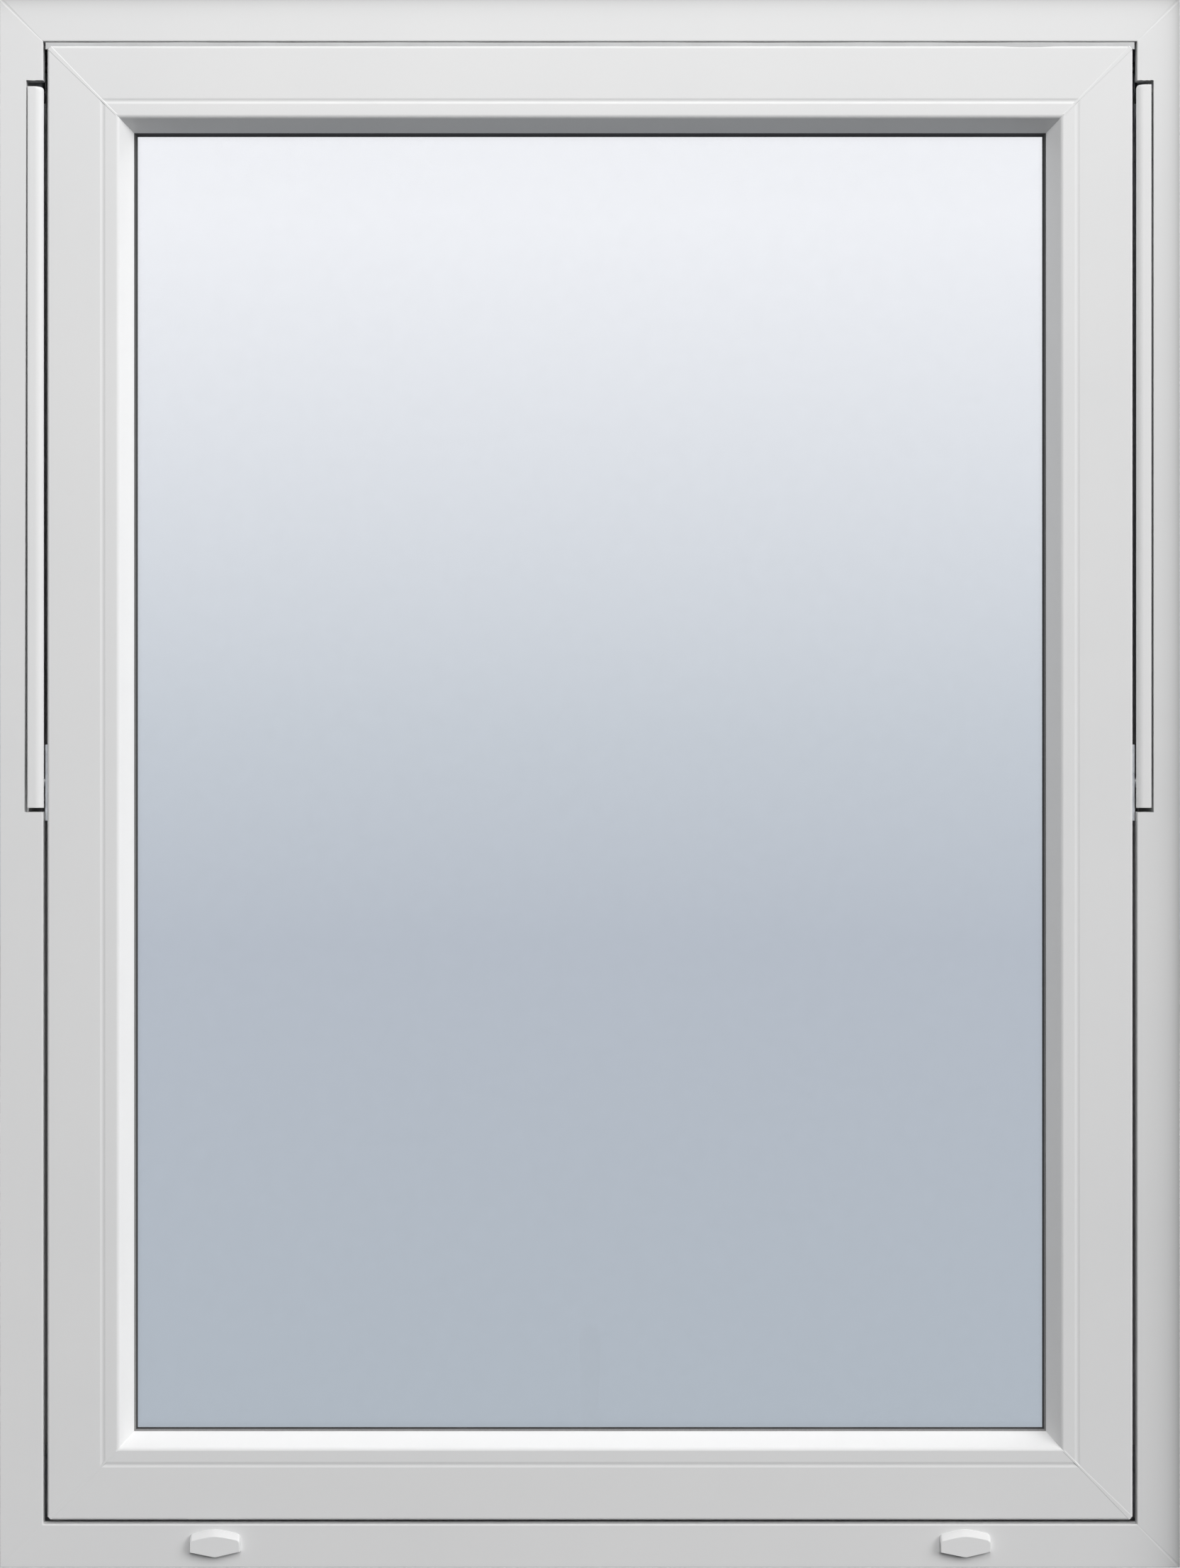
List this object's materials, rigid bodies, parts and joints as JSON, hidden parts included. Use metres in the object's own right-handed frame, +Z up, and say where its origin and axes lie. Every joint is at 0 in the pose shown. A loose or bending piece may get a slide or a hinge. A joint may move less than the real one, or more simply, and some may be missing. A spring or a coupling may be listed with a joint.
{
  "type": "top-guided outward-opening window",
  "caption": "White plastic window whose flush double-glazed sash swings outward at the bottom on side arms while shoes guide its top down tracks; a central handle drives lock rods.",
  "frame": {"origin": "centre of the sill's underside, half way through the frame's depth", "axes": "+Z up the window, +X to the right as seen from outside, +Y from the outside face into the room"},
  "size_m": [0.99, 0.1208, 1.316],
  "materials": {
    "white_plastic": "satin, slightly weathered",
    "white_trim": "satin",
    "grey_seal": "matte",
    "black_rubber": "matte",
    "edge_sealant": "matte",
    "glass": "polished",
    "spacer_alloy": "matte",
    "track_alloy": "mill finish",
    "black_nylon": "matte",
    "white_lacquer": "satin",
    "zinc_steel": "zinc plated"
  },
  "bodies": {
    "frame": {"frame_head": "white_plastic", "frame_sill": "white_plastic", "frame_jamb_left": "white_plastic", "frame_jamb_right": "white_plastic", "frame_steel": "zinc_steel", "frame_gasket": "black_rubber", "drain_cap_left": "white_trim", "drain_cap_right": "white_trim", "guide_track_left": "track_alloy", "guide_track_right": "track_alloy", "arm_pivot_left": "zinc_steel", "arm_pivot_right": "zinc_steel", "bolt_keep_left": "zinc_steel", "bolt_keep_right": "zinc_steel", "frame_screws": "zinc_steel"},
    "arm_left": {"arm_left": "zinc_steel", "arm_cover_left": "white_trim", "arm_cover_screws_left": "zinc_steel"},
    "arm_right": {"arm_right": "zinc_steel", "arm_cover_right": "white_trim", "arm_cover_screws_right": "zinc_steel"},
    "shoe_left": {"guide_shoe_left": "black_nylon"},
    "shoe_right": {"guide_shoe_right": "black_nylon"},
    "handle": {"handle_lever": "white_lacquer", "handle_spindle": "zinc_steel", "lock_pinion": "zinc_steel"},
    "lock_rod_left": {"lock_rod_left": "zinc_steel"},
    "lock_rod_right": {"lock_rod_right": "zinc_steel"},
    "sash": {"head_seal": "grey_seal", "sash_top_rail": "white_plastic", "sash_bottom_rail": "white_plastic", "sash_stile_left": "white_plastic", "sash_stile_right": "white_plastic", "sash_steel": "zinc_steel", "glass_outer_pane": "glass", "glass_inner_pane": "glass", "glass_spacer": "spacer_alloy", "glass_edge_seal": "edge_sealant", "glazing_bead_top": "white_plastic", "glazing_bead_bottom": "white_plastic", "glazing_bead_left": "white_plastic", "glazing_bead_right": "white_plastic", "glazing_gasket_outer": "black_rubber", "glazing_gasket_inner": "black_rubber", "setting_blocks": "black_nylon", "sash_pivot_left": "zinc_steel", "sash_pivot_right": "zinc_steel", "shoe_bracket_left": "zinc_steel", "shoe_bracket_right": "zinc_steel", "sash_screws": "zinc_steel", "lock_case": "zinc_steel", "lock_faceplate": "zinc_steel", "handle_rose": "white_lacquer", "handle_screws": "zinc_steel"}
  },
  "joints": [
    {"name": "arm_left_swing", "type": "hinge", "parent": "frame", "child": "arm_left", "pos_m": [-0.462, -0.043, 1.234], "axis": [-1, 0, 0], "range_deg": [0, 73.2]},
    {"name": "arm_right_swing", "type": "hinge", "parent": "frame", "child": "arm_right", "pos_m": [0.462, -0.043, 1.234], "axis": [-1, 0, 0], "range_deg": [0, 73.2]},
    {"name": "sash_tilt", "type": "hinge", "parent": "arm_left", "child": "sash", "pos_m": [-0.462, -0.0385, 0.658], "axis": [-1, 0, 0], "range_deg": [-3.3, 0]},
    {"name": "shoe_left_turn", "type": "hinge", "parent": "sash", "child": "shoe_left", "pos_m": [-0.4685, -0.0125, 1.266], "axis": [-1, 0, 0], "range_deg": [-70.3, 0]},
    {"name": "shoe_right_turn", "type": "hinge", "parent": "sash", "child": "shoe_right", "pos_m": [0.4685, -0.0125, 1.266], "axis": [-1, 0, 0], "range_deg": [-70.3, 0]},
    {"name": "handle_turn", "type": "hinge", "parent": "sash", "child": "handle", "pos_m": [0, -0.0125, 0.0665], "axis": [0, 1, 0], "range_deg": [0, 90]},
    {"name": "lock_rod_left_slide", "type": "slide", "parent": "sash", "child": "lock_rod_left", "axis": [-1, 0, 0], "range_m": [0, 0.01575]},
    {"name": "lock_rod_right_slide", "type": "slide", "parent": "sash", "child": "lock_rod_right", "axis": [1, 0, 0], "range_m": [0, 0.01575]}
  ],
  "couplings": [
    {"joint": "arm_right_swing", "follows": "arm_left_swing", "ratio": 1},
    {"joint": "sash_tilt", "follows": "arm_left_swing", "ratio": -0.042787},
    {"joint": "shoe_left_turn", "follows": "arm_left_swing", "ratio": -0.95721},
    {"joint": "shoe_right_turn", "follows": "arm_left_swing", "ratio": -0.95721},
    {"joint": "lock_rod_left_slide", "follows": "handle_turn", "m_per_rad": 0.01},
    {"joint": "lock_rod_right_slide", "follows": "handle_turn", "m_per_rad": 0.01}
  ]
}
